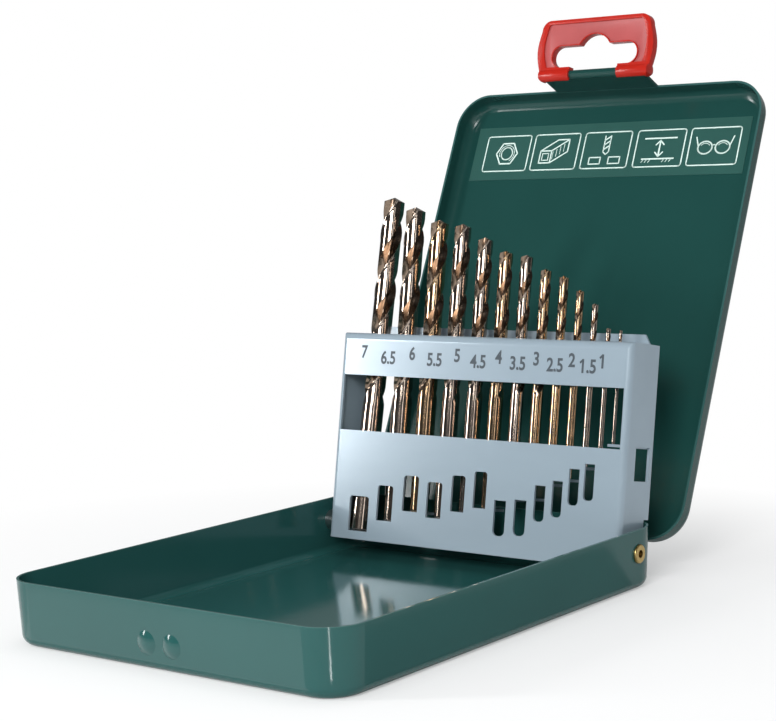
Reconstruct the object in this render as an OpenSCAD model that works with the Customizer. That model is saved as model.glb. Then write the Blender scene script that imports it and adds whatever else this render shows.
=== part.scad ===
// Drill bit case: a pressed steel tray and hinged lid with a tilting rack of
// thirteen twist drills and a plastic hanger on the lid's front tab.
// Millimetres. Origin: centre of the tray's underside. +X right, +Y to the
// hinge at the back, +Z up. Drawn open, with the rack standing.

/* [Tray] */
// outside width of the tray at its rim
tray_w = 117.6; // [100:0.2:160]
// outside depth of the tray at its rim, front to back
tray_l = 151; // [135:0.5:190]
// height of the tray
tray_h = 18; // [17:0.1:24]
// outside corner radius of the tray, seen from above
tray_r = 10.8; // [6:0.1:16]
// how far each tray wall leans inward at the bottom
tray_draft = 0.97; // [0.4:0.01:1.6]
// outside radius where the tray's walls meet its floor
tray_fillet = 3; // [1.5:0.1:5]
// thickness of the tray and lid sheet
sheet_t = 0.7; // [0.5:0.05:0.9]

/* [Lid] */
// depth of the lid pan
lid_h = 7; // [6.5:0.1:12]
// how far each lid wall leans inward at its floor
lid_draft = 0.5; // [0.2:0.05:1]
// outside radius where the lid's walls meet its floor
lid_fillet = 4; // [2:0.1:5.5]
// gap between the closed lid and the tray's outside wall
lid_gap = 0.15; // [0.1:0.01:0.3]
// how far the closed lid's rim reaches down over the tray's rim
lid_overlap = 0.6; // [0.3:0.1:1.5]
// how far the open lid leans back past upright, in degrees
lid_lean = 24.4; // [5:0.1:30]
// gap between the printed band's sides and the lid's inner fillets
band_gap = 1.45; // [0.2:0.05:20]
// height of the printed band
band_h = 20; // [10:0.5:30]
// distance from the lid's front edge to the printed band
band_from_edge = 9.9; // [6:0.1:30]
// thickness of the printed band
band_t = 0.12; // [0.08:0.01:0.3]

/* [Snap tab] */
// width of the lid's front tab
tab_w = 39.4; // [36:0.2:50]
// distance from the lid's rim down to the tab's roll
tab_drop = 9.1; // [8:0.1:11]
// outside radius of the tab's roll
roll_r = 1.5; // [1.2:0.05:1.8]
// inside radius of the tab's roll
roll_bore = 0.8; // [0.4:0.05:1]
// distance of each snap dome from the middle of the front wall
dome_x = 4.4; // [4:0.1:8]
// height of the snap domes above the underside
dome_z = 7.5; // [6:0.1:9]
// radius of each snap dome where it leaves the wall
dome_r = 3.2; // [2.4:0.1:3.8]
// how far each snap dome stands out
dome_out = 0.8; // [0.4:0.05:0.9]

/* [Hinge] */
// diameter of the hinge pin
pin_d = 2; // [1.6:0.1:2.4]
// length of the hinge pin
pin_l = 90; // [76:1:100]
// running clearance round the pin and the rack's pivots
run_gap = 0.05; // [0.02:0.01:0.09]
// height of the hinge pin above the underside
hinge_z = 11.7; // [10:0.1:14]
// distance of each lid hinge loop from the middle
loop_x = 24; // [18:0.5:26]
// width of each lid hinge loop
loop_w = 14; // [8:0.5:16]
// side gap between neighbouring hinge loops
loop_gap = 0.3; // [0.1:0.05:1]
// bottom edge of the tray's hinge leaf above the underside
leaf_z = 3.8; // [3.2:0.1:6]

/* [Rack] */
// distance from the tray's rim to the rack's flange at each side
rack_gap = 4.2; // [3.6:0.1:6]
// depth of the rack's side flanges
rack_d = 15.8; // [14.6:0.1:16]
// thickness of the rack's sheet
rack_t = 0.8; // [0.6:0.05:1]
// top of the rack's shelf above its pivots
shelf_h = 61.4; // [56:0.1:66]
// bottom edge of the rack below its pivots
rack_low = 5.1; // [4:0.1:5.6]
// outside radius of the bends at the plate's sides
side_bend = 2; // [1.4:0.1:3]
// outside radius of the bend at the plate's top
top_bend = 2.5; // [1.6:0.1:3.5]
// height of the lip at the shelf's rear edge above the shelf
lip_h = 3.2; // [2:0.1:4]
// width of the lip at the shelf's rear edge
lip_w = 104.4; // [60:0.2:106]
// how far each end of the lip slants inward at its top
lip_slant = 2.4; // [0:0.1:4]
// how far the standing rack leans back, in degrees
rack_lean = 10; // [4:0.1:14]
// distance of the rack's pivots behind the plate's face
piv_off = 5; // [4.5:0.1:5.5]
// distance of the rack's pivots in front of the tray's rear rim
piv_back = 13.2; // [13:0.1:16]
// height of the rack's pivots above the underside
piv_z = 10.9; // [10.4:0.1:11.5]
// how far the side flanges step in below the tray's rim, clear of its round corners
flange_step = 2.6; // [2.4:0.1:4]
// gap between the step in the flanges and the tray's rim
step_gap = 0.4; // [0.2:0.1:1]
// radius of the rear bottom corner of the side flanges
flange_r = 4.5; // [3:0.1:5]
// bottom edge of the window above the pivots
win_lo = 29.8; // [29:0.1:34]
// top edge of the window above the pivots
win_hi = 47.7; // [40:0.1:52]
// margin of plate left beside the window
win_side = 1.9; // [1.6:0.1:6]
// front edge of the slot in the right flange, behind the plate's face
eye_y = 6; // [4:0.1:7]
// width of the slot in the right flange
eye_w = 8; // [4:0.1:8.5]
// bottom edge of the slot in the right flange above the pivots
eye_lo = 20.8; // [14:0.1:24]
// height of the slot in the right flange
eye_h = 10; // [6:0.1:12]
// distance of the thinnest drill behind that slot's front edge
eye_in = 1; // [0.8:0.1:2]
// how far the thinnest drill's rest reaches past its middle
rest_past = 1.4; // [1:0.1:2]

/* [Rest slots] */
// how far the thickest drill's slot is moved towards the rack's middle
first_slot_shift = 2.3; // [0:0.1:3]
// width of each punched slot
slot_w = [7.8, 6.2, 6, 5.8, 5.1, 4.8, 4.3, 4.3, 3.8, 3.6, 3.6, 3.5]; // [3:0.1:9]
// bottom edge of each punched slot above the pivots
slot_lo = [-2.4, 1.7, 5.5, 4.2, 6.9, 8.7, 0.9, 1.6, 6.5, 8.3, 12.3, 14.1]; // [-3:0.1:24]
// height of each punched slot
slot_h = 11.2; // [8:0.1:11.5]
// length of the bent rest tabs
rest_l = 10.4; // [9:0.1:11]

/* [Drills] */
// diameter of each drill
drill_d = [7, 6.5, 6, 5.5, 5, 4.5, 4, 3.5, 3, 2.5, 2, 1.5, 1]; // [0.8:0.1:7.4]
// length of each drill
drill_l = [109, 101, 93, 93, 86, 80, 75, 70, 63, 57, 49, 40, 34]; // [30:1:112]
// distance of the thickest drill from the rack's side
first_in = 9.6; // [8.6:0.1:14]
// distance of the thinnest drill from the rack's other side
last_in = 8.5; // [5:0.1:12]
// share of the row between each drill and the next
share = [12.6, 10, 9.3, 9, 8.2, 7.8, 7.4, 6.7, 6.1, 5.6, 5.2, 3.2]; // [3:0.1:14]
// middle of each drill's foot behind the plate's face, but for the thinnest
foot_y = [4.5, 5.2, 5.2, 5.2, 5.2, 5.2, 5.2, 5.2, 5.2, 5.2, 5.2, 5.2]; // [4.4:0.1:7]
// lean of each drill against the plate, in degrees
drill_lean = [2.8, 0, 0, 0, 0, 0, 0, 0, 0, 0, 0, 0, 0]; // [0:0.1:3]
// gap round each drill in its shelf hole
hole_gap = 0.25; // [0.15:0.01:0.4]
// angle of the drills' points
point_angle = 130; // [110:1:140]

/* [Pivots] */
// radius of the rack's tubular rivets
rivet_r = 2; // [1.6:0.05:2.4]
// radius of the rivets' outer heads
head_r = 2.8; // [2.6:0.05:3.6]
// thickness of the rivets' outer heads
head_t = 0.75; // [0.5:0.05:1]
// radius of the hollow in each rivet's outer end
rivet_bore = 1.2; // [0.8:0.05:1.3]
// depth of the hollow in each rivet's outer end
bore_h = 1.6; // [1:0.1:2.2]
// radius of the spacers on the rivets
spacer_r = 3.3; // [2.8:0.1:4]

/* [Hanger] */
// how much wider the hanger is at its middle than at its corners
hang_bulge = 2.8; // [0:0.1:5]
// thickness of the walls that close the clips' outer ends
clip_end = 1.2; // [0.8:0.1:2]
// side gap between those walls and the tab's roll
clip_side = 0.3; // [0.1:0.05:0.6]
// height of the hanger above the roll's axis
hang_h = 18.7; // [17:0.1:22]
// thickness of the hanger's rim
hang_rim_t = 2.8; // [2.4:0.1:4]
// thickness of the hanger's web
hang_web_t = 1.6; // [1.2:0.1:2.2]
// width of the hanger's rim at its sides
hang_rim = 2.6; // [1.8:0.1:3]
// width of the hanger's rim along its top
hang_top_rim = 1.4; // [1:0.1:3]
// width of the raised edge round the hanging slot
slot_rim = 0.4; // [0.3:0.1:1]
// corner radius of the hanger
hang_r = 3.6; // [2.5:0.1:5]
// length of the hanging slot
hook_w = 33.2; // [28:0.2:35]
// top of the hanging slot above the roll's axis
hook_top = 9.7; // [9:0.1:11]
// top of the hanging slot's middle arch above the roll's axis
arch_top = 13.1; // [12:0.1:14]
// half width of the hanging slot's middle arch
arch_w = 5.8; // [4:0.1:8]
// wall of the clips round the roll
clip_t = 0.75; // [0.6:0.05:0.85]
// gap between the clips
clip_gap = 18.8; // [16:0.2:22]
// how far the standing hanger leans forward from the lid's plane, in degrees
hang_lean = 14; // [8:0.5:15]
// how far the hanger can turn back, in degrees
hang_back = 60; // [20:1:60]
// how far the hanger can turn forward, in degrees
hang_fwd = 5; // [2:1:6]

/* [Hidden] */
$fn = 64;
e = 0.01;
tray_a = atan(tray_draft / tray_h);
lid_w = tray_w + 2 * (lid_gap + sheet_t);
lid_l = tray_l + 2 * (lid_gap + sheet_t);
lid_r = tray_r + lid_gap + sheet_t;
band_w = lid_w - 2 * (lid_draft + lid_fillet + band_gap);
lid_z = tray_h - lid_overlap;
knuckle_r = pin_d / 2 + run_gap + sheet_t;
hinge_y = tray_l / 2 + lid_gap + knuckle_r;
piv_y = tray_l / 2 - piv_back;
roll_y = -(tray_l / 2 + lid_gap + 0.35) - roll_r;
roll_z = lid_z - tab_drop;
clip_r = roll_r + run_gap;
clip_R = clip_r + clip_t;
bore_l = tab_w + 2 * clip_side;
hang_end_w = bore_l + 2 * clip_end;
hang_w = hang_end_w + hang_bulge;
plate_y = -piv_off;
rack_top = shelf_h - top_bend;
lid_turn = 90 + lid_lean;
rack_w = tray_w - 2 * rack_gap;
slots = len(slot_w);
drills = len(drill_d);
row = rack_w - first_in - last_in;
drill_x = [for (i = [0:drills - 1]) -rack_w / 2 + first_in + row * sum_to(i) / sum_to(drills - 1)];
slot_x = [for (i = [0:slots - 1]) drill_x[i] + (i == 0 ? first_slot_shift : 0)];
leaf_bend = hinge_z - knuckle_r - 1.5;
low_slots = 6;

// outer face of a tray wall at height z, as a distance from the tray's middle
function wall_at(half, z) = half - (tray_h - z) * tan(tray_a);

// sum of the first n shares of the row of drills
function sum_to(n) = n < 1 ? 0 : share[n - 1] + sum_to(n - 1);

// height of the rest under drill i
function foot_h(i) =
    i < low_slots ? slot_lo[i] :
    i < slots ? slot_lo[i] + slot_h + 0.3 : eye_lo + eye_h + rack_t / 2;

// distance of drill i's foot behind the plate's face
function foot_d(i) = i < slots ? foot_y[i] : eye_y + eye_in;

// ---- shared shapes ----

// half section of a pressed pan: r from the corner's middle, z up from the floor
module pan_section(r, h, draft, f, t) {
    a = atan(draft / h);
    cx = r - (f + (h - f) * sin(a)) / cos(a);
    n = 8;
    outer = [for (i = [0:n]) let (g = -90 + i * (90 - a) / n)
        [cx + f * cos(g), f + f * sin(g)]];
    inner = [for (i = [n:-1:0]) let (g = -90 + i * (90 - a) / n)
        [cx + (f - t) * cos(g), f + (f - t) * sin(g)]];
    polygon(concat([[0, 0]], outer, [[r, h], [r - t / cos(a), h]], inner, [[0, t]]));
}

// pressed pan with its floor down, made of four corners, four walls and a floor
module pan(w, l, h, r, draft, f, t) {
    for (sx = [-1, 1], sy = [-1, 1])
        translate([sx * (w / 2 - r), sy * (l / 2 - r), 0])
            rotate([0, 0, sx > 0 ? (sy > 0 ? 0 : -90) : (sy > 0 ? 90 : 180)])
                rotate_extrude(angle = 90)
                    pan_section(r, h, draft, f, t);
    for (s = [0, 180])
        rotate([0, 0, s])
            translate([w / 2 - r, l / 2 - r, 0])
                rotate([90, 0, 0])
                    linear_extrude(l - 2 * r)
                        pan_section(r, h, draft, f, t);
    for (s = [0, 180])
        rotate([0, 0, s])
            translate([-(w / 2 - r), l / 2 - r, 0])
                rotate([90, 0, 90])
                    linear_extrude(w - 2 * r)
                        pan_section(r, h, draft, f, t);
    translate([-(w / 2 - r), -(l / 2 - r), 0])
        cube([w - 2 * r, l - 2 * r, t]);
}

// quarter ring for a bend, in the corner +x +y of its middle
module bend(r, t) {
    intersection() {
        difference() {
            circle(r);
            circle(r - t);
        }
        square(r + 1);
    }
}

// puts a shape drawn with the lid closed into the open pose
module opened() {
    translate([0, hinge_y, hinge_z])
        rotate([-lid_turn, 0, 0])
            translate([0, -hinge_y, -hinge_z])
                children();
}

// puts a shape drawn upright, with the pivots as its origin, into the rack's pose
module racked() {
    translate([0, piv_y, piv_z])
        rotate([-rack_lean, 0, 0])
            children();
}

// extrudes a shape drawn in y and z along x from x0 to x1
module along_x(x0, x1) {
    translate([x0, 0, 0])
        rotate([90, 0, 90])
            linear_extrude(x1 - x0)
                children();
}

// ---- tray ----

// solid ball of one snap dome, inset for its hollow side
module dome_ball(x, inset) {
    ball = (dome_r * dome_r + dome_out * dome_out) / (2 * dome_out);
    face = -wall_at(tray_l / 2, dome_z);
    translate([x, face - dome_out + ball, dome_z])
        sphere(ball - inset, $fn = 96);
}

module base_tray() {
    face = -wall_at(tray_l / 2, dome_z);
    b = dome_r + 1.8;
    color([0.11, 0.26, 0.24])
        difference() {
            union() {
                pan(tray_w, tray_l, tray_h, tray_r, tray_draft, tray_fillet, sheet_t);
                for (x = [-dome_x, dome_x])
                    intersection() {
                        dome_ball(x, 0);
                        translate([x - b, face - 2, dome_z - b])
                            cube([2 * b, 2.3, 2 * b]);
                    }
            }
            for (x = [-dome_x, dome_x])
                intersection() {
                    dome_ball(x, sheet_t);
                    translate([x - b, face - 2, dome_z - b])
                        cube([2 * b, 3.2, 2 * b]);
                }
            translate([0, piv_y, piv_z])
                rotate([0, 90, 0])
                    cylinder(h = tray_w + 4, r = rivet_r + run_gap, center = true);
        }
}

// ---- lid ----

module lid() {
    color([0.09, 0.24, 0.22])
        opened()
            difference() {
                union() {
                    translate([0, 0, lid_z + lid_h])
                        mirror([0, 0, 1])
                            pan(lid_w, lid_l, lid_h, lid_r, lid_draft, lid_fillet, sheet_t);
                    // front tab and its roll
                    along_x(-tab_w / 2, tab_w / 2) {
                        polygon([
                            [-lid_l / 2, lid_z + 0.3],
                            [-lid_l / 2 + sheet_t, lid_z + 0.3],
                            [roll_y + roll_r, roll_z],
                            [roll_y + roll_r - sheet_t, roll_z]
                        ]);
                        translate([roll_y, roll_z])
                            circle(roll_r);
                    }
                    // rear hinge loops
                    for (s = [-1, 1])
                        along_x(s * loop_x - loop_w / 2, s * loop_x + loop_w / 2) {
                            translate([hinge_y, hinge_z])
                                circle(knuckle_r);
                            translate([lid_l / 2 - sheet_t, hinge_z])
                                square([sheet_t, lid_z - hinge_z + 0.3]);
                        }
                }
                translate([0, hinge_y, hinge_z])
                    rotate([0, 90, 0])
                        cylinder(h = lid_w, r = pin_d / 2 + run_gap, center = true);
                translate([0, roll_y, roll_z])
                    rotate([0, 90, 0])
                        cylinder(h = tab_w + 2, r = roll_bore, center = true);
            }
}

module label_band() {
    color([0.2, 0.42, 0.38])
        opened()
            translate([-band_w / 2, -lid_l / 2 + band_from_edge,
                lid_z + lid_h - sheet_t - band_t])
                cube([band_w, band_h, band_t]);
}

// ---- hinge ----

module hinge_leaf() {
    y0 = wall_at(tray_l / 2, leaf_z) + 0.02;
    y1 = wall_at(tray_l / 2, leaf_bend) + 0.02;
    inner = hinge_y - knuckle_r;
    edge = loop_x + loop_w / 2 + loop_gap;
    near = loop_x - loop_w / 2 - loop_gap;
    end = pin_l / 2 - 0.8;
    color([0.1, 0.25, 0.23])
        difference() {
            union() {
                along_x(-end, end)
                    polygon([[y0, leaf_z], [y0 + sheet_t, leaf_z],
                        [y1 + sheet_t, leaf_bend], [y1, leaf_bend]]);
                for (x = [[-end, -edge], [-near, near], [edge, end]])
                    along_x(x[0], x[1]) {
                        polygon([[y1, leaf_bend - e], [y1 + sheet_t, leaf_bend - e],
                            [inner + sheet_t, hinge_z - 1], [inner + sheet_t, hinge_z],
                            [inner, hinge_z], [inner, hinge_z - 0.6]]);
                        translate([hinge_y, hinge_z])
                            circle(knuckle_r);
                    }
            }
            translate([0, hinge_y, hinge_z])
                rotate([0, 90, 0])
                    cylinder(h = tray_w, r = pin_d / 2 + run_gap, center = true);
        }
}

module hinge_pin() {
    color([0.6, 0.61, 0.62])
        translate([-pin_l / 2, hinge_y, hinge_z])
            rotate([0, 90, 0]) {
                cylinder(h = 0.3, r1 = pin_d / 2 - 0.3, r2 = pin_d / 2);
                translate([0, 0, 0.3])
                    cylinder(h = pin_l - 0.6, r = pin_d / 2);
                translate([0, 0, pin_l - 0.3])
                    cylinder(h = 0.3, r1 = pin_d / 2, r2 = pin_d / 2 - 0.3);
            }
}

// ---- rack ----

// front view of punched slot i, square end at its rest, round corners at the other
module slot_shape(i) {
    w = slot_w[i];
    low = i < low_slots;
    q = low ? 1 : w / 2 - 0.5;
    top = slot_lo[i] + slot_h - (low ? 0 : 0.4);
    z0 = low ? slot_lo[i] : slot_lo[i] + q;
    z1 = low ? top - q : top;
    translate([slot_x[i] - w / 2, z0])
        square([w, z1 - z0]);
    zc = low ? z1 : z0;
    translate([slot_x[i] - w / 2 + q, zc - q])
        square([w - 2 * q, 2 * q]);
    for (s = [-1, 1])
        translate([slot_x[i] + s * (w / 2 - q), zc])
            circle(q, $fn = 32);
}

// plan of the plate, its side bends and the flanges
module rack_plan() {
    for (s = [0, 1])
        mirror([s, 0, 0]) {
            translate([rack_w / 2 - rack_t, plate_y + side_bend])
                square([rack_t, rack_d - side_bend]);
            translate([rack_w / 2 - side_bend, plate_y + side_bend])
                mirror([0, 1, 0])
                    bend(side_bend, rack_t);
        }
    translate([-(rack_w / 2 - side_bend), plate_y])
        square([rack_w - 2 * side_bend, rack_t]);
}

// plan of the rack's outside
module rack_outline() {
    translate([-rack_w / 2, plate_y + side_bend])
        square([rack_w, rack_d - side_bend]);
    translate([-(rack_w / 2 - side_bend), plate_y])
        square([rack_w - 2 * side_bend, side_bend + e]);
    for (s = [-1, 1])
        translate([s * (rack_w / 2 - side_bend), plate_y + side_bend])
            circle(side_bend);
}

// side view of the rack's outside, at its top
module top_outline() {
    translate([plate_y + top_bend, rack_top])
        circle(top_bend);
    translate([plate_y + top_bend, rack_top - top_bend])
        square([rack_d - top_bend, 2 * top_bend]);
}

// side view of the top bend and shelf
module shelf_section() {
    translate([plate_y + top_bend, rack_top])
        mirror([1, 0, 0])
            bend(top_bend, rack_t);
    translate([plate_y + top_bend, shelf_h - rack_t])
        square([rack_d - top_bend, rack_t]);
    translate([plate_y, rack_top - 1])
        square([rack_t, 1 + e]);
}

// axis of drill i, from the rack's pivots
module on_drill(i) {
    translate([drill_x[i], plate_y + foot_d(i), foot_h(i)])
        rotate([-drill_lean[i], 0, 0])
            children();
}

module bit_rack() {
    color([0.6, 0.67, 0.73])
        racked()
            difference() {
                union() {
                    translate([0, 0, -rack_low])
                        linear_extrude(rack_low + rack_top)
                            rack_plan();
                    // flanges up to the shelf, their corners closed
                    intersection() {
                        translate([0, 0, rack_top - e])
                            linear_extrude(top_bend + e)
                                rack_plan();
                        along_x(-rack_w / 2 - 1, rack_w / 2 + 1)
                            top_outline();
                    }
                    intersection() {
                        along_x(-rack_w / 2, rack_w / 2)
                            shelf_section();
                        translate([0, 0, rack_top - 2])
                            linear_extrude(top_bend + 3)
                                rack_outline();
                    }
                    // rear lip with slanted ends
                    translate([0, plate_y + rack_d, 0])
                        rotate([90, 0, 0])
                            linear_extrude(rack_t)
                                polygon([
                                    [-lip_w / 2, shelf_h - rack_t],
                                    [lip_w / 2, shelf_h - rack_t],
                                    [lip_w / 2 - lip_slant, shelf_h + lip_h],
                                    [-lip_w / 2 + lip_slant, shelf_h + lip_h]
                                ]);
                    // bent rest tabs
                    for (i = [0:slots - 1])
                        translate([slot_x[i] - slot_w[i] / 2 + 0.1, plate_y + 0.1,
                            foot_h(i) - rack_t])
                            cube([slot_w[i] - 0.2, rest_l, rack_t]);
                    // rest of the thinnest drill, bent in from the right flange's slot
                    translate([rack_w / 2 - last_in - rest_past, plate_y + eye_y + 0.1,
                        foot_h(drills - 1) - rack_t])
                        cube([last_in + rest_past - rack_t + e, eye_w - 0.2, rack_t]);
                }
                // window
                translate([-(rack_w / 2 - win_side), plate_y - 1, win_lo])
                    cube([rack_w - 2 * win_side, rack_t + 1.8, win_hi - win_lo]);
                // punched slots
                for (i = [0:slots - 1])
                    translate([0, plate_y + rack_t + 0.02, 0])
                        rotate([90, 0, 0])
                            linear_extrude(rack_t + 1)
                                slot_shape(i);
                // drilled shelf
                for (i = [0:drills - 1])
                    on_drill(i)
                        translate([0, 0, rack_top - foot_h(i) - 3])
                            cylinder(h = 3 * top_bend + 6, r = drill_d[i] / 2 + hole_gap);
                // slot in the right flange
                translate([rack_w / 2 - rack_t - e, plate_y + eye_y, eye_lo])
                    cube([rack_t + 1, eye_w, eye_h]);
                // pivot hole in each flange
                for (s = [0, 1])
                    mirror([s, 0, 0])
                        translate([rack_w / 2 - rack_t - 0.5, 0, 0])
                            rotate([0, 90, 0])
                                cylinder(h = rack_t + 1, r = rivet_r + run_gap);
                // flanges step in below the rim and are round at the bottom
                for (s = [-1, 1])
                    translate([s * rack_w / 2, 0, 0])
                        rotate([0, 90, 0])
                            linear_extrude(2 * rack_t + 1, center = true)
                                flange_waste();
            }
}

// side view of what is cut from the flanges' rear edge, x down and y to the rear
module flange_waste() {
    rear = plate_y + rack_d;
    inner = rear - flange_step;
    rim_h = (tray_h + step_gap - piv_z + rear * sin(rack_lean)) / cos(rack_lean);
    difference() {
        translate([-rim_h, inner - flange_r])
            square([rim_h + rack_low + 1, flange_step + flange_r + 1]);
        translate([-rim_h - 1, inner - flange_r - 1])
            square([rim_h + 1 + rack_low - flange_r, flange_r + 1]);
        translate([rack_low - flange_r, inner - flange_r])
            circle(flange_r);
        translate([0, inner - flange_r - 1])
            square([rack_low + 2, 1]);
    }
}

// ---- pivots ----

// one tubular rivet on the +X side
module rivet() {
    out = wall_at(tray_w / 2, piv_z);
    in = rack_w / 2 - rack_t - 0.1;
    difference() {
        union() {
            translate([in - 0.7, 0, 0])
                rotate([0, 90, 0])
                    cylinder(h = out - in + 0.7 + head_t / 2, r = rivet_r);
            // outer head, seated on the leaning wall
            difference() {
                translate([out - 0.3, 0, 0])
                    rotate([0, 90, 0])
                        rotate_extrude()
                            union() {
                                square([head_r - head_t / 2, head_t + 0.3]);
                                translate([head_r - head_t / 2, head_t / 2 + 0.3])
                                    circle(head_t / 2);
                                square([head_r, head_t / 2 + 0.3]);
                            }
                translate([out + 0.02, 0, 0])
                    rotate([0, tray_a, 0])
                        translate([-3, -5, -5])
                            cube([3, 10, 10]);
            }
            // inner head
            translate([in - 0.7, 0, 0])
                rotate([0, 90, 0])
                    cylinder(h = 0.7, r = rivet_r + 0.9);
        }
        translate([out + head_t - bore_h, 0, 0])
            rotate([0, 90, 0])
                cylinder(h = bore_h + 1, r = rivet_bore);
    }
}

module pivot_rivets() {
    color([0.75, 0.6, 0.3])
        translate([0, piv_y, piv_z])
            for (s = [0, 1])
                mirror([s, 0, 0])
                    rivet();
}

module pivot_spacers() {
    in = rack_w / 2 + 0.06;
    out = wall_at(tray_w / 2, piv_z) - sheet_t / cos(tray_a);
    color([0.7, 0.7, 0.7])
        translate([0, piv_y, piv_z])
            for (s = [0, 1])
                mirror([s, 0, 0])
                    difference() {
                        translate([in, 0, 0])
                            rotate([0, 90, 0])
                                cylinder(h = out - in + 1, r = spacer_r);
                        translate([in - 1, 0, 0])
                            rotate([0, 90, 0])
                                cylinder(h = out - in + 3, r = rivet_r + run_gap);
                        translate([out - 0.02, 0, 0])
                            rotate([0, tray_a, 0])
                                translate([0, -5, -5])
                                    cube([3, 10, 10]);
                    }
}

// ---- hanger ----

// outline of the hanger, drawn up from the roll's axis, inset by m
module hang_outline(m) {
    c = hang_end_w / 2 - hang_r;
    q = hang_r - m;
    n = 8;
    top = [for (i = [0:n]) let (g = 90 - i * 90 / n)
        [c + q * cos(g), hang_h - hang_r + q * sin(g)]];
    side = [for (i = [1:n - 1]) let (u = i / n)
        [hang_end_w / 2 - m + (hang_w - hang_end_w) / 2 * sin(180 * u),
            (hang_h - hang_r) * (1 - u) + 0.8 * u]];
    low = [for (i = [0:n]) let (g = -i * 90 / n)
        [c + 1 + (q - 1) * cos(g), 0.8 + (q - 1) * sin(g)]];
    half = concat(top, side, low);
    last = len(half) - 1;
    polygon(concat(half, [for (i = [last:-1:0]) [-half[i][0], half[i][1]]]));
}

// hanging slot with its middle arch
module hook_slot(m) {
    lo = clip_R + 0.2;
    r = (hook_top - lo) / 2;
    c = hook_w / 2 - r;
    for (s = [-1, 1])
        translate([s * c, lo + r])
            circle(r + m);
    translate([-c, lo - m])
        square([2 * c, 2 * r + 2 * m]);
    ar = (arch_w * arch_w + (arch_top - hook_top) * (arch_top - hook_top))
        / (2 * (arch_top - hook_top));
    intersection() {
        translate([0, arch_top - ar])
            circle(ar + m);
        translate([-hook_w, hook_top - 0.5])
            square([2 * hook_w, 10]);
    }
}

// front view of the clips, with round lower corners
module clip_outline() {
    r = 1.8;
    translate([-hang_end_w / 2, r - clip_R])
        square([hang_end_w, 2 * clip_R]);
    translate([r - hang_end_w / 2, -clip_R - e])
        square([hang_end_w - 2 * r, r + 2 * e]);
    for (s = [-1, 1])
        translate([s * (hang_end_w / 2 - r), r - clip_R])
            circle(r);
}

module hanger() {
    color([0.78, 0.12, 0.1])
        opened()
            translate([0, roll_y, roll_z])
                rotate([180 + hang_lean, 0, 0])
                    difference() {
                        union() {
                            translate([0, 0, -hang_rim_t / 2])
                                linear_extrude(hang_rim_t)
                                    difference() {
                                        hang_outline(0);
                                        translate([-hang_w, -5])
                                            square([2 * hang_w, 5]);
                                    }
                            intersection() {
                                along_x(-hang_end_w / 2, hang_end_w / 2)
                                    circle(clip_R);
                                translate([0, 0, -5])
                                    linear_extrude(10)
                                        clip_outline();
                            }
                        }
                        // recessed web, front and back
                        for (s = [0, 1])
                            mirror([0, 0, s])
                                translate([0, 0, hang_web_t / 2])
                                    linear_extrude(5)
                                        difference() {
                                            translate([0, hang_rim - hang_top_rim])
                                                hang_outline(hang_rim);
                                            hook_slot(slot_rim);
                                            translate([-hang_w, -9])
                                                square([2 * hang_w, 9 + clip_R + 0.4]);
                                        }
                        // hanging slot
                        translate([0, 0, -5])
                            linear_extrude(10)
                                hook_slot(0);
                        // gap between the clips
                        translate([-clip_gap / 2, -5, -5])
                            cube([clip_gap, 5 + clip_R + 1, 10]);
                        // bore for the roll
                        translate([-bore_l / 2, 0, 0])
                            rotate([0, 90, 0])
                                cylinder(h = bore_l, r = clip_r);
                        // mouth of the clips, clear of the tab at both limits
                        along_x(-bore_l / 2, bore_l / 2)
                            mouth();
                    }
}

// wedge cut from the clips, clear of the tab's sheet over the hanger's whole turn
module mouth() {
    tab_a = acos((roll_r - sheet_t) / clip_R);
    a0 = 180 - hang_lean - hang_fwd - 6;
    a1 = 180 - hang_lean + hang_back + tab_a + 6;
    n = 6;
    polygon(concat([[0, 0]],
        [for (i = [0:n]) let (g = a0 + i * (a1 - a0) / n) [6 * cos(g), 6 * sin(g)]]));
}

// ---- drills ----

// one drill standing on the origin
module drill(i) {
    r = drill_d[i] / 2;
    p = r / tan(point_angle / 2);
    c = min(0.4, r * 0.25);
    cylinder(h = c, r1 = r - c, r2 = r);
    translate([0, 0, c])
        cylinder(h = drill_l[i] - p - c, r = r);
    translate([0, 0, drill_l[i] - p])
        cylinder(h = p, r1 = r, r2 = 0);
}

module placed_drill(i) {
    color([0.45, 0.36, 0.28])
        racked()
            on_drill(i)
                translate([0, 0, 0.02 + drill_d[i] / 2 * tan(drill_lean[i])])
                    drill(i);
}

base_tray();
lid();
label_band();
hinge_leaf();
hinge_pin();
bit_rack();
pivot_rivets();
pivot_spacers();
hanger();
placed_drill(0);  // drill_7_0
placed_drill(1);  // drill_6_5
placed_drill(2);  // drill_6_0
placed_drill(3);  // drill_5_5
placed_drill(4);  // drill_5_0
placed_drill(5);  // drill_4_5
placed_drill(6);  // drill_4_0
placed_drill(7);  // drill_3_5
placed_drill(8);  // drill_3_0
placed_drill(9);  // drill_2_5
placed_drill(10);  // drill_2_0
placed_drill(11);  // drill_1_5
placed_drill(12);  // drill_1_0
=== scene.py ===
# %% [markdown]
# # A drill bit case, open
# The case is a pressed steel tray with a lid, a folded rack that stands up out
# of it, thirteen twist drills and a red plastic hanger. The solids of the
# frame already have the right shapes for the sheet metal, so this script gives
# those their finishes. It models anew what needs more detail: the drills with
# their flutes, the hanger with its rounded edges, the printed numbers and the
# pictograms. A length that is multiplied by MM is written in millimetres.

# %% Load the frame
import math

import bmesh
import bpy
from mathutils import Matrix, Vector


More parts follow.
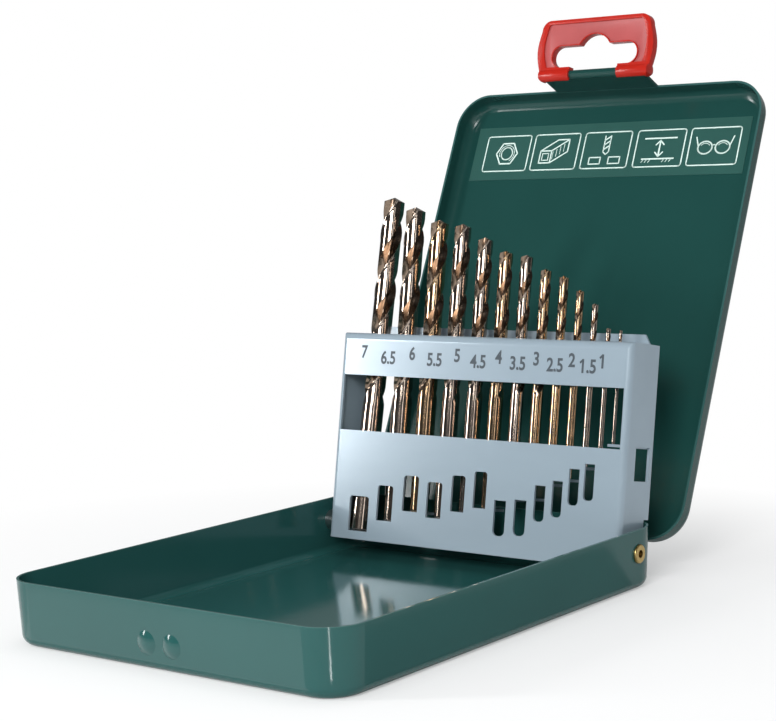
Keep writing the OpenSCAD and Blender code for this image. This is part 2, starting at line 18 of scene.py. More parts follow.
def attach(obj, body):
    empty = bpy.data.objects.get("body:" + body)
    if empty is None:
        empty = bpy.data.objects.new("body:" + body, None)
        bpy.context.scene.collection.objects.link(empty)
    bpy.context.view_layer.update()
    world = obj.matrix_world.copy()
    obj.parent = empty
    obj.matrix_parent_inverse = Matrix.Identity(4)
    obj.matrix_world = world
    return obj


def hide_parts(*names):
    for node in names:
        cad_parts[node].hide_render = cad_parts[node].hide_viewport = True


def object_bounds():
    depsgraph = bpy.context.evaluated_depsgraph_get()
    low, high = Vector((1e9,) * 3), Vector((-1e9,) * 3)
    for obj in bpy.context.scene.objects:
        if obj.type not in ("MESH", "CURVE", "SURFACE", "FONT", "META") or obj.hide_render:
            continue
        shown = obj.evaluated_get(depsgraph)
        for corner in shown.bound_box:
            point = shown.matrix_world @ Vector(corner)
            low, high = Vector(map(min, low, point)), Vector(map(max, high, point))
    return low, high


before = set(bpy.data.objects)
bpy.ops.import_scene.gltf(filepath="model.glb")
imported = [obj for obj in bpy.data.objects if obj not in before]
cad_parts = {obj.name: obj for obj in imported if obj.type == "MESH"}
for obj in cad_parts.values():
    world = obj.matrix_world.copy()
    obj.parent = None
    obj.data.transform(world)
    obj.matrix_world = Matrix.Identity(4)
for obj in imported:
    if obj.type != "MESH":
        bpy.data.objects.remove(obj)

MM = 0.001
scene = bpy.context.scene


def box_list(bounds):
    """A box as plain lists of numbers."""
    return [[float(v) for v in corner] for corner in bounds]


cad_box = box_list(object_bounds())
print("CAD box", cad_box)

# %% [markdown]
# ## Camera
# The photograph was taken from the front right, a little above the rack's
# middle, with a short telephoto lens. The camera could be aimed at the case
# with a constraint. Its axes are written as the columns of its matrix instead,
# because that fixes its tilt as well. A small sideways shift keeps the case
# where it stands in the frame without turning the camera.

# %% Place the camera
camera_data = bpy.data.cameras.new("camera")
camera_data.sensor_width = 36.0
camera_data.lens = 87.2
camera_data.shift_x = -0.0672
camera_data.shift_y = -0.0020
camera_data.clip_start = 0.01
camera = bpy.data.objects.new("camera", camera_data)
right = Vector((0.80301, 0.59515, -0.03116))
up = Vector((-0.03487, 0.09911, 0.99447))
back = Vector((0.59494, -0.79748, 0.10034))
turn = Matrix((right, up, back)).transposed().to_4x4()
camera.matrix_world = Matrix.Translation((0.33537, -0.40241, 0.12390)) @ turn
scene.collection.objects.link(camera)
scene.camera = camera
print("camera", camera.matrix_world.translation[:])

# %% [markdown]
# ## Light, floor and background
# The object stood on white paper with a white backdrop behind it, in a dim
# room with a few soft boxes. A panorama of a real studio could light it, but a
# few nodes are enough and each can be tuned alone. Rays from the camera see
# pure white, and matt surfaces see one plain light level. Mirror rays see the
# white backdrop behind the case, and the dim room on the camera's side, which
# is what gives polished drills their dark bands.

# %% Make the room
scene.view_settings.view_transform = "Standard"
world = bpy.data.worlds.new("studio")
scene.world = world
world.use_nodes = True
room = world.node_tree
room.nodes.clear()


def set_inputs(node, values):
    """Sets inputs of a shader node by their names, and gives back the node."""
    for name, value in values.items():
        node.inputs[name].default_value = value
    return node


def add_node(tree, kind, values=None):
    """A new shader node, with some of its inputs set."""
    return set_inputs(tree.nodes.new("ShaderNode" + kind), values or {})


def add_math(tree, operation, first, second):
    """The result of a math node that joins two sockets."""
    node = add_node(tree, "Math")
    node.operation = operation
    tree.links.new(first, node.inputs[0])
    tree.links.new(second, node.inputs[1])
    return node.outputs[0]


def blend_shaders(tree, factor, first, second):
    """Mixes two shaders by a factor."""
    node = add_node(tree, "MixShader")
    for source, socket in zip((factor, first, second), node.inputs):
        tree.links.new(source, socket)
    return node.outputs[0]


def background(colour, strength):
    """One background shader of the room."""
    return add_node(room, "Background", {"Color": colour, "Strength": strength}).outputs[0]


soft = background((0.95, 0.98, 1.0, 1), 0.45)
white = background((1, 1, 1, 1), 1.0)
backdrop = background((1, 1, 1, 1), 0.4)
dim = background((0.9, 0.95, 1.0, 1), 0.05)
where = add_node(room, "TexCoord")
axes = add_node(room, "SeparateXYZ")
room.links.new(where.outputs["Generated"], axes.inputs[0])
behind = add_node(room, "MapRange", {"From Min": 0.5, "From Max": 1.0})
behind.interpolation_type = "SMOOTHSTEP"
room.links.new(axes.outputs["Y"], behind.inputs["Value"])
mirrored = blend_shaders(room, behind.outputs["Result"], dim, backdrop)
ray = add_node(room, "LightPath").outputs
shiny = add_math(room, "MAXIMUM", ray["Is Glossy Ray"], ray["Is Transmission Ray"])
lit = blend_shaders(room, shiny, soft, mirrored)
seen = blend_shaders(room, ray["Is Camera Ray"], lit, white)
room.links.new(seen, add_node(room, "OutputWorld").inputs["Surface"])
print("room nodes", len(room.nodes))

# %% [markdown]
# Four soft boxes light the case. The key hangs behind and above the camera and
# reaches down to the low part of the lid. The tall strip at the left gives
# each drill a bright line down its side. A weak strip at the right and a weak
# box above soften the shadows. Area lamps are used because a round or small
# lamp would leave hard spots on the glossy enamel.


# %% Hang the lamps
def area_lamp(name, place, target, size, power):
    """A rectangular soft box at place, aimed at target."""
    data = bpy.data.lights.new(name, "AREA")
    data.shape = "RECTANGLE"
    data.size, data.size_y = size
    data.energy = power
    lamp = bpy.data.objects.new(name, data)
    lamp.location = place
    aim = Vector(target) - Vector(place)
    lamp.rotation_euler = aim.to_track_quat("-Z", "Y").to_euler()
    scene.collection.objects.link(lamp)


area_lamp("key", (0.36, -0.93, 0.56), (0, 0.03, 0.05), (0.4, 0.4), 9.5)
area_lamp("left_strip", (-0.80, -0.72, 0.36), (0, 0.06, 0.08), (0.12, 0.44), 5.0)
area_lamp("right_strip", (0.86, -0.62, 0.26), (0, 0.06, 0.08), (0.08, 0.45), 0.4)
area_lamp("top", (0.0, 0.1, 0.9), (0, 0.05, 0.05), (0.4, 0.4), 1.0)

# %% [markdown]
# The floor is one large white sheet. Near the case it is mostly a matt white
# that takes the shadow. Farther out it fades to the background's white for
# camera rays, so that no horizon shows. A curved backdrop would hide the
# horizon too, but the fade needs no mesh of its own.

# %% Make the floor
FLOOR_HALF = 6.0
FLOOR_DROP = 0.05 * MM


def node_material(name):
    """A new material with nodes, and its node tree."""
    material = bpy.data.materials.new(name)
    material.use_nodes = True
    return material, material.node_tree


def new_object(name, bm, material):
    """Turns a finished bmesh into an object of the scene."""
    mesh = bpy.data.meshes.new(name)
    bm.to_mesh(mesh)
    bm.free()
    mesh.materials.append(material)
    made = bpy.data.objects.new(name, mesh)
    scene.collection.objects.link(made)
    return made


paper, tree = node_material("white_paper")
matt = set_inputs(tree.nodes["Principled BSDF"], {
    "Base Color": (0.93, 0.93, 0.93, 1), "Roughness": 0.9, "Specular IOR Level": 0.0})
glow = add_node(tree, "Emission", {"Color": (1, 1, 1, 1)})
coords = add_node(tree, "TexCoord")
reach = add_node(tree, "VectorMath")
reach.operation = "LENGTH"
tree.links.new(coords.outputs["Object"], reach.inputs[0])
fade = add_node(tree, "MapRange", {"From Min": 0.085, "From Max": 0.23, "To Min": 0.35})
tree.links.new(reach.outputs["Value"], fade.inputs["Value"])
ray = add_node(tree, "LightPath").outputs
faded = add_math(tree, "MULTIPLY", fade.outputs["Result"], ray["Is Camera Ray"])
seen = blend_shaders(tree, faded, matt.outputs[0], glow.outputs[0])
tree.links.new(seen, tree.nodes["Material Output"].inputs["Surface"])

bm = bmesh.new()
bmesh.ops.create_grid(bm, x_segments=1, y_segments=1, size=FLOOR_HALF)
floor_z = cad_box[0][2] - FLOOR_DROP
bmesh.ops.translate(bm, verts=bm.verts[:], vec=(0, 0, floor_z))
floor = new_object("floor", bm, paper)
print("floor at", round(floor_z, 6))

# %% [markdown]
# Three flat cards lie on the floor round the tray, and only mirror rays see
# them. A bright one gives the front wall its pale sheen, a dark one keeps the
# right wall deep green, and a very thin one draws the bright line that runs
# down the rounded corner between them. More lamps could do this, but they
# would light everything else as well. The tray's walls mirror the floor
# sideways, so the two wide cards slant the same way.

# %% Lay the cards
CARD_Z = 0.2 * MM


def floor_card(name, corners, strength):
    """A glowing card on the floor, given by its corners in mm, for mirror rays only."""
    material, tree = node_material(name)
    glow = add_node(tree, "Emission", {"Strength": strength})
    tree.links.new(glow.outputs[0], tree.nodes["Material Output"].inputs["Surface"])
    bm = bmesh.new()
    bm.faces.new([bm.verts.new((x * MM, y * MM, CARD_Z)) for x, y in corners])
    card = new_object(name, bm, material)
    card.visible_camera = card.visible_diffuse = card.visible_shadow = False
    card.visible_transmission = False
    print(name, "strength", strength)


floor_card("front_card", ((-60, -76.5), (-112, -114), (16, -114), (48, -76.5)), 1.75)
floor_card("side_card", ((60, -62), (92, -25), (92, 100), (60, 64)), 0.3)
floor_card("corner_card", ((61.6, -82.8), (96.2, -131.6), (98.0, -130.3), (62.9, -81.9)),
           22.0)

# %% [markdown]
# ## Finishes
# Each finish is a Principled shader with three sources of detail: a slow noise
# that varies the colour, a fine noise that varies the roughness, and the same
# fine noise as a bump, which gives the orange peel of paint or the grain of a
# ground shank. Image textures could do this too, but noise needs no files and
# has no seams. A stretch makes the grain run one way. All the noises read
# Object coordinates, so the pattern stays on its piece.


# %% A helper for finishes
def tone(colour, gain):
    """The same colour, lighter or darker."""
    return tuple(min(1.0, c * gain) for c in colour[:3]) + (1.0,)


def add_noise(tree, mapping, scale, detail):
    """The value of a noise texture, read through a mapping."""
    node = add_node(tree, "TexNoise", {"Scale": scale, "Detail": detail})
    tree.links.new(mapping.outputs[0], node.inputs["Vector"])
    return node.outputs["Fac"]


def finish(name, colour, rough, patch, grain, lift, spread=0.08, metallic=0.0,
           stretch=(1, 1, 1), specular=0.5):
    """A procedural finish. Its colour and roughness vary, and it has a fine bump."""
    material, tree = node_material(name)
    shader = set_inputs(tree.nodes["Principled BSDF"],
                        {"Metallic": metallic, "Specular IOR Level": specular})
    coords = add_node(tree, "TexCoord")
    mapping = add_node(tree, "Mapping", {"Scale": stretch})
    tree.links.new(coords.outputs["Object"], mapping.inputs["Vector"])

    ramp = add_node(tree, "ValToRGB")
    for element, place, gain in zip(ramp.color_ramp.elements, (0.3, 0.7),
                                    (1 - spread, 1 + spread)):
        element.position = place
        element.color = tone(colour, gain)
    tree.links.new(add_noise(tree, mapping, patch, 4.0), ramp.inputs["Fac"])
    tree.links.new(ramp.outputs["Color"], shader.inputs["Base Color"])

    fine = add_noise(tree, mapping, grain, 3.0)
    level = add_node(tree, "MapRange", {"To Min": rough[0], "To Max": rough[1]})
    tree.links.new(fine, level.inputs["Value"])
    tree.links.new(level.outputs["Result"], shader.inputs["Roughness"])
    bump = add_node(tree, "Bump", {"Strength": lift, "Distance": 0.2 * MM})
    tree.links.new(fine, bump.inputs["Height"])
    tree.links.new(bump.outputs[0], shader.inputs["Normal"])
    return material


print("finish helper ready")

# %% [markdown]
# The tray, the hinge and the lid are stove-enamelled steel: a dark green gloss
# with a faint orange peel. The lid's green is darker than the tray's, as painted
# shade. Their rims carry a painted highlight, a thin light line where a bevel
# would catch the light. A bevel would need a changed mesh, so the line is mixed
# into the paint where a plane crosses the piece at the height of its rim. The
# lid's solid is drawn open, so its plane is turned about the hinge with it.

# %% The green enamels
LID_TURN = math.radians(-114.4)
HINGE = Vector((0.0, 77.4, 11.7)) * MM
TRAY_RIM = 18.0
LID_RIM = 17.4
RIM_HIGHLIGHT_HALF = 0.12 * MM
lid_opened = (Matrix.Translation(HINGE) @ Matrix.Rotation(LID_TURN, 4, "X")
              @ Matrix.Translation(-HINGE))


def add_painted_rim_highlight(material, normal, offset, colour):
    """Mixes a lighter line into the paint where a plane crosses the piece: a painted
    highlight along the rim.
    """
    tree = material.node_tree
    shader = tree.nodes["Principled BSDF"]
    base = shader.inputs["Base Color"].links[0].from_socket
    coords = add_node(tree, "TexCoord")
    dot = add_node(tree, "VectorMath")
    dot.operation = "DOT_PRODUCT"
    dot.inputs[1].default_value = normal
    tree.links.new(coords.outputs["Object"], dot.inputs[0])
    near = add_node(tree, "Math")
    near.operation = "COMPARE"
    near.inputs[1].default_value = offset
    near.inputs[2].default_value = RIM_HIGHLIGHT_HALF
    tree.links.new(dot.outputs["Value"], near.inputs[0])
    mix = add_node(tree, "Mix")
    mix.data_type = "RGBA"
    mix.inputs["B"].default_value = colour
    tree.links.new(near.outputs[0], mix.inputs["Factor"])
    tree.links.new(base, mix.inputs["A"])
    tree.links.new(mix.outputs["Result"], shader.inputs["Base Color"])


tray_enamel = finish("tray_enamel", (0.018, 0.082, 0.077), spread=0.05, specular=0.3,
                     rough=(0.08, 0.16), patch=18, grain=520, lift=0.03)
# The light line on the tray's rim is a painted highlight.
add_painted_rim_highlight(tray_enamel, (0, 0, 1), TRAY_RIM * MM, (0.05, 0.13, 0.12, 1))
# The lid's enamel is the tray's green made darker: painted shade.
lid_shaded_enamel = finish("lid_shaded_enamel", (0.010, 0.052, 0.046), spread=0.06, specular=0.32,
                    rough=(0.13, 0.21), patch=18, grain=520, lift=0.03)
lid_out = Vector((0, math.sin(LID_TURN), -math.cos(LID_TURN)))
lid_rim = lid_opened @ Vector((0, 0, LID_RIM * MM))
# The lid's rim gets the same painted highlight.
add_painted_rim_highlight(lid_shaded_enamel, lid_out, lid_rim.dot(lid_out), (0.03, 0.09, 0.085, 1))
print("lid's rim at", [round(v, 5) for v in lid_rim])

# %% [markdown]
# The rack is sprayed a pale blue grey, with less gloss than the enamel. The
# film in the lid is printed plastic. Pins and spacers are bare steel, and the
# rivets are brass. The drills have a thin oxide from their heat treatment,
# which is bronze on most of them and straw on some. Their flutes get a darker
# colour, which is painted shade in the hollows. A metallic Principled shader
# takes its tint from the base colour, so one helper serves for the paints and
# for the metals.

# %% Paint, film and metals
rack_enamel = finish("rack_enamel", (0.285, 0.358, 0.415), spread=0.04, metallic=0.1,
                     rough=(0.15, 0.22), patch=45, grain=900, lift=0.015,
                     stretch=(0.25, 1, 1))
film = finish("printed_film", (0.022, 0.082, 0.070), spread=0.05, specular=0.3,
              rough=(0.25, 0.36), patch=40, grain=700, lift=0.01)
pin_steel = finish("pin_steel", (0.45, 0.46, 0.47), metallic=1.0, rough=(0.25, 0.4),
                   patch=300, grain=2400, lift=0.02)
brass = finish("rivet_brass", (0.50, 0.36, 0.14), metallic=1.0, rough=(0.24, 0.38),
               patch=400, grain=2600, lift=0.03)
bronze = finish("bronze_oxide", (0.45, 0.37, 0.31), spread=0.25, metallic=1.0,
                rough=(0.09, 0.18), patch=160, grain=1600, lift=0.03, stretch=(1, 1, 3))
straw = finish("straw_oxide", (0.52, 0.36, 0.22), spread=0.25, metallic=1.0,
               rough=(0.09, 0.18), patch=160, grain=1600, lift=0.03, stretch=(1, 1, 3))
# The flutes' darker colour is painted shade.
flute_shade_bronze = finish("flute_painted_shade", (0.24, 0.18, 0.135), spread=0.3, metallic=1.0,
                      rough=(0.14, 0.26), patch=200, grain=1800, lift=0.03)
print("metals", brass.name, bronze.name, straw.name, flute_shade_bronze.name)

# %% [markdown]
# The hanger is red plastic, with a paler grain on its panel. The size numbers
# are a dark ink on the rack, and the pictograms a pale ink on the film. When
# all the finishes are there, the frame's own pieces are dressed. Only their
# list of materials changes, and their meshes stay as they are.

# %% Plastic and inks
red = finish("red_plastic", (0.40, 0.014, 0.007), spread=0.05, rough=(0.2, 0.3),
             patch=90, grain=1300, lift=0.02, specular=0.28)
pink = finish("panel_plastic", (0.39, 0.078, 0.078), spread=0.08, rough=(0.3, 0.42),
              patch=90, grain=1300, lift=0.02, specular=0.3)
ink = finish("number_ink", (0.03, 0.045, 0.06), spread=0.1, rough=(0.4, 0.55),
             patch=500, grain=3000, lift=0.01)
white_ink = finish("pictogram_ink", (0.62, 0.76, 0.71), spread=0.06, rough=(0.4, 0.55),
                   patch=500, grain=3000, lift=0.01)
print("finishes", len(bpy.data.materials))

# %% Dress the frame's pieces
DRESS = {"base_tray": tray_enamel, "hinge_leaf": tray_enamel, "lid": lid_shaded_enamel,
         "label_band": film, "bit_rack": rack_enamel, "hinge_pin": pin_steel,
         "pivot_spacers": pin_steel, "pivot_rivets": brass, "hanger": red}
for node, material in DRESS.items():
    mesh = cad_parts[node].data
    mesh.materials.clear()
    mesh.materials.append(material)
print("dressed", len(DRESS), "pieces")

# %% [markdown]
# ## Twist drills
# A twist drill is a round bar with two helical flutes ground into its front
# part. Its section has two lands, each with a narrow raised margin, and two
# hollow flutes. Cutting the flutes with booleans would be slow and rough, so
# the drill is grown from its section. A function gives the section's radius at
# each point of a ring, and half a turn of it is written once for both flutes.

# %% The drill's section
AROUND = 64
MARGIN = 0.06
LAND = 0.60
LAND_RADIUS = 0.955
WEB = 0.22
HOLLOW = 0.55


def section_radius(j):
    """The section's radius at point j of the ring, for a drill of radius 1."""
    half = (j % (AROUND // 2)) / (AROUND // 2)
    if half < MARGIN:
        return 1.0
    if half < LAND:
        return LAND_RADIUS
    u = (half - LAND) / (1 - LAND)
    depth = math.sin(math.pi * (u * 1.02)) ** HOLLOW
    return LAND_RADIUS - (LAND_RADIUS - WEB) * depth


print("section", [round(section_radius(j), 2) for j in range(0, AROUND // 2, 3)])

# %% [markdown]
# The mesh starts from a circle at the drill's foot. The circle is extruded up
# the shank, and then in many small steps, each moved up and turned a little,
# while every point slides in to the section's radius. The flutes start shallow
# where they run out into the shank. At the tip the last ring is pulled onto
# the point's cone and closed. The faces down in the flutes get the drill's
# second finish, a darker colour that paints shade into them.


# %% Move a ring of points
def grow(bm, edges, rise, turn=0.0):
    """Extrudes an open ring upward, turns it, and gives back its new edges and points."""
    step = bmesh.ops.extrude_edge_only(bm, edges=edges)["geom"]
    points = [g for g in step if isinstance(g, bmesh.types.BMVert)]
    edges = [g for g in step if isinstance(g, bmesh.types.BMEdge)]
    bmesh.ops.translate(bm, verts=points, vec=(0, 0, rise))
    bmesh.ops.rotate(bm, verts=points, cent=(0, 0, 0),
                     matrix=Matrix.Rotation(turn, 3, "Z"))
    return edges, points


def ring_order(points, phase):
    """The points of a ring in order of their angle, counted from the phase."""
    def angle(v):
        return (math.atan2(v.co.y, v.co.x) - phase + 1e-4) % (2 * math.pi)
    return sorted(points, key=angle)


def set_radius(points, phase, radius_at):
    """Slides each point of a ring in or out to the radius of its place."""
    for j, v in enumerate(ring_order(points, phase)):
        flat = Vector((v.co.x, v.co.y, 0)).normalized() * radius_at(j)
        v.co.x, v.co.y = flat.x, flat.y


print("ring helpers ready")

# %% Grow one drill
POINT_ANGLE = 130.0
PITCH = 5.45
STEPS_A_TURN = 36
RUNOUT = 7
INNER_RING = 0.45
FLUTE_EDGE = 0.9


def twist_drill(d, length, flute):
    """A drill standing on the origin, in metres, and the angle that its twist ends at."""
    r = d / 2
    point = r / math.tan(math.radians(POINT_ANGLE / 2))
    base = length - point
    chamfer = min(0.4 * MM, r * 0.25)
    pitch = PITCH * d
    steps = int((flute - point) / (pitch / STEPS_A_TURN))
    rise = (flute - point) / steps
    turn = 2 * math.pi * rise / pitch

    def pull_to_cone(points):
        """Moves points up onto the cone of the drill's point."""
        for v in points:
            v.co.z = base + point * (1 - math.hypot(v.co.x, v.co.y) / r)

    bm = bmesh.new()
    bmesh.ops.create_circle(bm, cap_ends=True, radius=r - chamfer, segments=AROUND)
    edges, points = grow(bm, [e for e in bm.edges if e.is_boundary], chamfer)
    set_radius(points, 0, lambda j: r)
    edges, points = grow(bm, edges, length - flute - chamfer)
    phase = 0.0
    for k in range(1, steps + 1):
        edges, points = grow(bm, edges, rise, turn)
        phase += turn
        cut = min(1.0, k / (steps // RUNOUT))
        cut = cut * cut * (3 - 2 * cut)
        set_radius(points, phase,
                   lambda j: r * (1 - cut * (1 - section_radius(j))))
    pull_to_cone(points)
    edges, points = grow(bm, edges, 0)
    for v in points:
        v.co.x *= INNER_RING
        v.co.y *= INNER_RING
    pull_to_cone(points)
    bmesh.ops.pointmerge(bm, verts=grow(bm, edges, 0)[1], merge_co=(0, 0, length))
    bmesh.ops.recalc_face_normals(bm, faces=bm.faces[:])
    # Faces down in the flutes get the painted shade finish.
    for face in bm.faces:
        middle = face.calc_center_median()
        if chamfer < middle.z < base and math.hypot(middle.x, middle.y) < FLUTE_EDGE * r:
            face.material_index = 1
    return bm, phase


print("drill's point angle", POINT_ANGLE, "pitch", PITCH, "diameters")

# %% [markdown]
# The drills stand in the rack, which leans back by ten degrees. Each stands on
# its own bent rest, and its middle is in its hole in the shelf. The sizes are
# those of common jobber drills, so one table and one function make all of
# them. Each is turned so that its tip shows about the same side to the camera.

# %% Where the rack holds its drills
PIVOT = Vector((0, 62.3, 10.9)) * MM
RACK_LEAN = 10.0
PLATE_Y = -5.0
DRILLS = (
    # size, length, flute, x, foot's depth, foot's height, lean
    (7.0, 109, 69, -45.0, 4.5, -2.4, 2.8),
    (6.5, 101, 63, -32.4, 5.2, 1.7, 0),
    (6.0, 93, 57, -22.4, 5.2, 5.5, 0),
    (5.5, 93, 57, -13.1, 5.2, 4.2, 0),
    (5.0, 86, 52, -4.1, 5.2, 6.9, 0),
    (4.5, 80, 47, 4.1, 5.2, 8.7, 0),
    (4.0, 75, 43, 11.9, 5.2, 12.4, 0),
    (3.5, 70, 39, 19.3, 5.2, 13.1, 0),
    (3.0, 63, 33, 26.0, 5.2, 18.0, 0),
    (2.5, 57, 30, 32.1, 5.2, 19.8, 0),
    (2.0, 49, 24, 37.7, 5.2, 23.8, 0),
    (1.5, 40, 18, 42.9, 5.2, 25.6, 0),
    (1.0, 34, 12, 46.1, 7.0, 31.2, 0),
)
racked = Matrix.Translation(PIVOT) @ Matrix.Rotation(math.radians(-RACK_LEAN), 4, "X")
print("drills", len(DRILLS), "from", DRILLS[-1][0], "to", DRILLS[0][0], "mm")

# %% Stand the drills in the rack
STRAW_DRILLS = (6.0, 4.5, 3.5, 3.0, 2.5)
TIP_TURN = math.radians(137)
TIP_SPREAD = 0.12
FOOT_GAP = 0.02


def new_piece(name, bm, body, material):
    piece = new_object(name, bm, material)
    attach(piece, body)
    return piece


def smooth(piece, angle):
    """Smooth shading, with edges sharper than the angle kept crisp."""
    piece.data.shade_smooth()
    piece.data.set_sharp_from_angle(angle=math.radians(angle))


for k, (d, length, flute, x, depth, foot, lean) in enumerate(DRILLS):
    node = "drill_%d_%d" % (int(d), round(d * 10) % 10)
    bm, phase = twist_drill(d * MM, length * MM, flute * MM)
    spin = Matrix.Rotation(TIP_TURN + TIP_SPREAD * math.sin(5 * k) - phase, 4, "Z")
    tilt = Matrix.Rotation(math.radians(-lean), 4, "X")
    foot += FOOT_GAP + d / 2 * math.tan(math.radians(lean))
    place = Matrix.Translation(Vector((x, PLATE_Y + depth, foot)) * MM)
    bmesh.ops.transform(bm, matrix=racked @ place @ tilt @ spin, verts=bm.verts[:])
    oxide = straw if d in STRAW_DRILLS else bronze
    drill = new_piece("twist_" + node, bm, node, oxide)
    drill.data.materials.append(flute_shade_bronze)
    smooth(drill, 38)
    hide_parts(node)
    print(drill.name, len(drill.data.polygons), "faces")

# %% [markdown]
# ## Hanger
# The hanger is injection moulded: a raised rim round a thinner panel with the
# hanging slot, and two round clips that snap on the tab's roll. A moulding has
# no sharp edges. It could be drawn anew, but the frame's solid already has
# every form, so this piece starts from it: its loose triangles are merged into
# flat faces, and its sharp edges are then rounded with a small bevel. The
# panel has a finer grain that looks paler, so its faces get the second finish.

# %% Round the hanger's edges
SLOT_MIDDLE = Vector((0, 139.39, 160.17)) * MM
PANEL_OUT = Vector((0, -0.98353, 0.18052))
PANEL_DEPTH = (0.6 * MM, 1.1 * MM)
bm = bmesh.new()
bm.from_mesh(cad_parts["hanger"].data)
bmesh.ops.remove_doubles(bm, verts=bm.verts[:], dist=2e-6)
bmesh.ops.dissolve_limit(bm, angle_limit=math.radians(1), verts=bm.verts[:],
                         edges=bm.edges[:])
sharp = [e for e in bm.edges if len(e.link_faces) == 2
         and e.calc_face_angle() > math.radians(40)]
bmesh.ops.bevel(bm, geom=sharp, offset=0.22 * MM, offset_type="OFFSET", affect="EDGES",
                segments=3, profile=0.5, material=-1, clamp_overlap=True)
panel_faces = 0
for face in bm.faces:
    depth = abs((face.calc_center_median() - SLOT_MIDDLE).dot(PANEL_OUT))
    flat = abs(face.normal.dot(PANEL_OUT)) > 0.9
    if flat and PANEL_DEPTH[0] < depth < PANEL_DEPTH[1]:
        face.material_index = 1
        panel_faces += 1
hanger = new_piece("moulded_hanger", bm, "hanger", red)
hanger.data.materials.append(pink)
smooth(hanger, 50)
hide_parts("hanger")
print("hanger", len(hanger.data.polygons), "faces, panel", panel_faces)

# %% [markdown]
# ## Ink lines
# The prints on the case are flat. A texture could carry them, but it would
# need an image file, so they are drawn with ink lines. Each line is a thin
# slab, a few hundredths of a millimetre thick, that is laid on the surface.

# %% Draw with ink lines
INK = 0.03


def line(bm, a, b, width):
    """One straight ink line from a to b, in mm on the surface, as a thin slab."""
    a, b = Vector(a), Vector(b)
    along = b - a
    slab = bmesh.ops.create_cube(bm, size=1.0)["verts"]
    size = Matrix.Diagonal((along.length + width * 0.6, width, INK, 1))
    turn = Matrix.Rotation(math.atan2(along.y, along.x), 4, "Z")
    middle = Matrix.Translation(((a.x + b.x) / 2, (a.y + b.y) / 2, 0))
    bmesh.ops.transform(bm, matrix=middle @ turn @ size, verts=slab)


def path_line(bm, points, closed=False, width=0.32):
    """A run of ink lines through the points."""
    last = points[:1] if closed else []
    for a, b in zip(points, points[1:] + last):
        line(bm, a, b, width)


def arc(middle, radius, start, end, n, squash=1.0):
    """Points along an arc, for path_line."""
    cx, cy = middle
    turn = [math.radians(start + (end - start) * i / n) for i in range(n + 1)]
    return [(cx + radius * math.cos(g), cy + squash * radius * math.sin(g)) for g in turn]


def frame_line(bm, half_w, half_h, corner):
    """A box with round corners."""
    points = []
    for sx, sy, start in ((1, 1, 0), (-1, 1, 90), (-1, -1, 180), (1, -1, 270)):
        middle = (sx * (half_w - corner), sy * (half_h - corner))
        points += arc(middle, corner, start, start + 90, 4)
    path_line(bm, points, closed=True, width=0.42)


print("ink lines ready")

# %% [markdown]
# ## Printed numbers
# The rack's top strip carries the drills' sizes in plain dark figures. Drawing
# each figure with ink lines would be long, so a text object makes them. It is
# turned into a mesh and laid a few hundredths of a millimetre in front of the
# plate. The font's one is a bare stroke, so an ink line adds its flag. The
# whole sizes stand a little higher than the half ones.

# %% A helper for figures
FIGURE_HEIGHT = 4.0
FIGURE_SHARE = 0.7
BOLD = 0.14


def figures(text):
    """A mesh of one line of bold figures in mm, centred on x and standing on y."""
    curve = bpy.data.curves.new("figures", "FONT")
    curve.body = text
    curve.size = FIGURE_HEIGHT / FIGURE_SHARE
    curve.offset = BOLD
    curve.extrude = 0.01
    curve.align_x = "CENTER"
    holder = bpy.data.objects.new("figures", curve)
    scene.collection.objects.link(holder)
    bpy.context.view_layer.update()
    mesh = bpy.data.meshes.new_from_object(holder)
    bpy.data.objects.remove(holder)
    bpy.data.curves.remove(curve)
    return mesh


print("figures are", FIGURE_HEIGHT, "mm high")

# %% Print the sizes
LABEL_X = (-45.1, -35.2, -25.7, -16.8, -8.1, 0, 7.6, 14.7, 21.4, 28.2, 34.1, 39.8, 44.8)
WHOLE_Z = 53.3
HALF_Z = 51.7
NARROW = 0.86
numbers = bmesh.new()
for (d, *_), x in zip(DRILLS, LABEL_X):
    whole = d == int(d)
    mesh = figures("%d" % d if whole else ("%.1f" % d).replace(".", ","))
    before = set(numbers.verts)
    numbers.from_mesh(mesh)
    bpy.data.meshes.remove(mesh)
    if d < 2:
        edge = min(v.co.x for v in numbers.verts if v not in before)
        line(numbers, (edge + 0.35, 3.75), (edge - 0.65, 3.0), 0.65)
    new = [v for v in numbers.verts if v not in before]
    narrow = Matrix.Diagonal((NARROW * MM, MM, MM, 1))
    stand = Matrix.Rotation(math.radians(90), 4, "X") @ narrow
    low = WHOLE_Z if whole else HALF_Z
    place = Matrix.Translation(Vector((x, PLATE_Y - INK, low)) * MM)
    bmesh.ops.transform(numbers, matrix=racked @ place @ stand, verts=new)
size_numbers = new_piece("size_numbers", numbers, "rack", ink)
print("numbers", len(size_numbers.data.polygons), "faces")

# %% [markdown]
# ## Pictograms
# The film on the lid has a row of five framed pictograms in pale ink. These
# are plain signs of this case's own: a hexagon nut, a square tube, a drill
# over a plate, a depth arrow and a pair of glasses. Each is a function that
# draws in mm round its own middle, so a sign can be changed or moved alone.


# %% The signs for nut and tube
def nut(bm):
    """A hexagon nut from above, with a thread ring."""
    path_line(bm, arc((0, 0), 4.4, 0, 300, 5), closed=True, width=0.5)
    path_line(bm, arc((0, 0), 2.3, 0, 360, 24), width=0.45)
    path_line(bm, arc((0, 0), 3.1, -60, 200, 20), width=0.25)


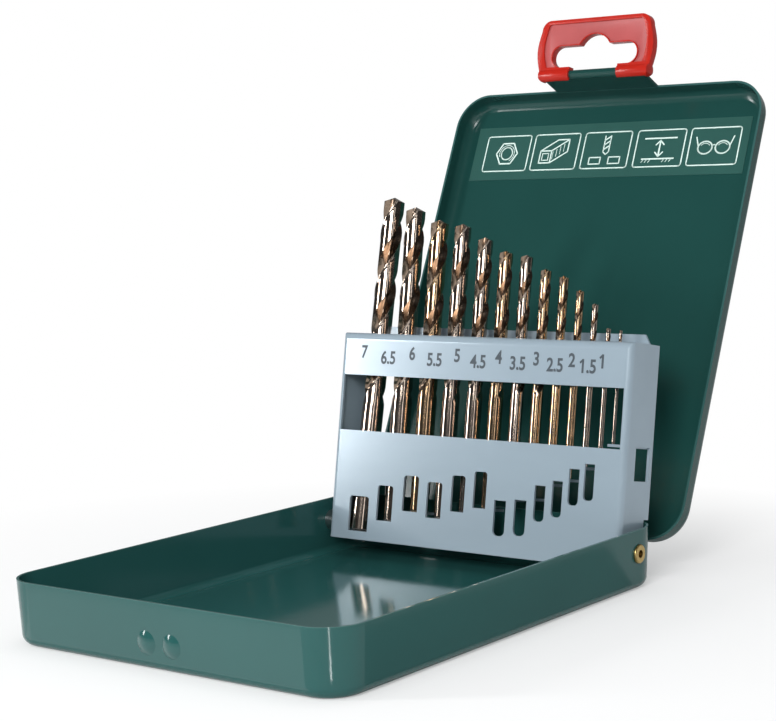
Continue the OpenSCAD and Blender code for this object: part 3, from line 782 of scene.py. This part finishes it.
def tube(bm):
    """A length of square tube, lying askew."""
    front = [(-6, -4), (-1.5, -4), (-1.5, 0.5), (-6, 0.5)]
    hollow = [(-5, -3), (-2.5, -3), (-2.5, -0.5), (-5, -0.5)]
    path_line(bm, front, closed=True, width=0.45)
    path_line(bm, hollow, closed=True)
    for x, y in front[1:]:
        line(bm, (x, y), (x + 6.5, y + 4), 0.45)
    path_line(bm, [(5, 0), (5, 4.5), (0.5, 4.5)], width=0.45)
    for k in range(4):
        line(bm, (k * 1.4 - 0.9, -2.6 + k * 0.86), (k * 1.4 - 0.9, 0.2 + k * 0.86), 0.2)


print("signs", nut.__name__, tube.__name__)


# %% The signs for drill, depth and glasses
def drill_sign(bm):
    """A twist drill over a plate with a hole."""
    path_line(bm, [(-1.1, 5.2), (-1.1, -0.6), (0, -1.6), (1.1, -0.6), (1.1, 5.2)],
              width=0.4)
    for k in range(3):
        path_line(bm, [(-1.1, 0.2 + 1.7 * k), (1.1, 1.7 + 1.7 * k)], width=0.45)
    for s in (-1, 1):
        path_line(bm, [(s * 6, -2.6), (s * 1.6, -2.6), (s * 1.6, -5), (s * 6, -5)],
                  closed=True, width=0.4)


def depth_sign(bm):
    """An arrow between two edges, for the depth of a hole."""
    line(bm, (-6, 3.6), (6, 3.6), 0.5)
    line(bm, (-6, -3.8), (6, -3.8), 0.5)
    line(bm, (0, 2.6), (0, -2.8), 0.55)
    for s in (-1, 1):
        line(bm, (s * 1.5, 1.2), (0, 2.8), 0.45)
        line(bm, (s * 1.5, -1.4), (0, -3.0), 0.45)
        for k in range(3):
            x = s * (2.6 + 1.3 * k)
            line(bm, (x, -3.8), (x - 0.8, -5), 0.22)


def glasses(bm):
    """A pair of safety glasses."""
    for s in (-1, 1):
        path_line(bm, arc((s * 3.2, -0.4), 2.6, 0, 360, 24, squash=0.85), width=0.5)
        path_line(bm, arc((s * 3.2, -0.4), 1.8, 30, 150, 8, squash=0.85), width=0.22)
        line(bm, (s * 5.8, 0.2), (s * 6.9, 3.4), 0.4)
    path_line(bm, arc((0, -0.2), 0.75, 20, 160, 6), width=0.4)


print("signs", drill_sign.__name__, depth_sign.__name__, glasses.__name__)

# %% [markdown]
# The row is drawn flat and then laid on the film. It is placed as on the
# closed lid, whose sizes are plain heights and lengths, and then turned open
# about the hinge with the same matrix as the lid's rim. That is simpler than
# working out the leaning place of each sign.

# %% Lay the pictograms on the film
SIGN_ROW = ((-39.9, nut), (-19.75, tube), (0.65, drill_sign), (21.3, depth_sign),
            (41.55, glasses))
TRAY_LENGTH = 151.0
RIM_GAP = 0.15
SHEET = 0.7
LID_DEPTH = 7.0
FILM = 0.12
ROW_BACK = 20.0
signs = bmesh.new()
for x, sign in SIGN_ROW:
    before = set(signs.verts)
    frame_line(signs, 9.1, 6.6, 0.9)
    sign(signs)
    new = [v for v in signs.verts if v not in before]
    bmesh.ops.translate(signs, verts=new, vec=(x, 0, 0))
lid_front = -(TRAY_LENGTH / 2 + RIM_GAP + SHEET)
film_z = LID_RIM + LID_DEPTH - SHEET - FILM
row_middle = Vector((0, lid_front + ROW_BACK, film_z - INK / 2 - 0.005))
face_down = Matrix.Translation(row_middle) @ Matrix.Rotation(math.pi, 4, "X")
bmesh.ops.transform(signs, matrix=lid_opened @ Matrix.Scale(MM, 4) @ face_down,
                    verts=signs.verts[:])
pictograms = new_piece("pictograms", signs, "lid", white_ink)
print("pictograms", len(pictograms.data.polygons), "faces")
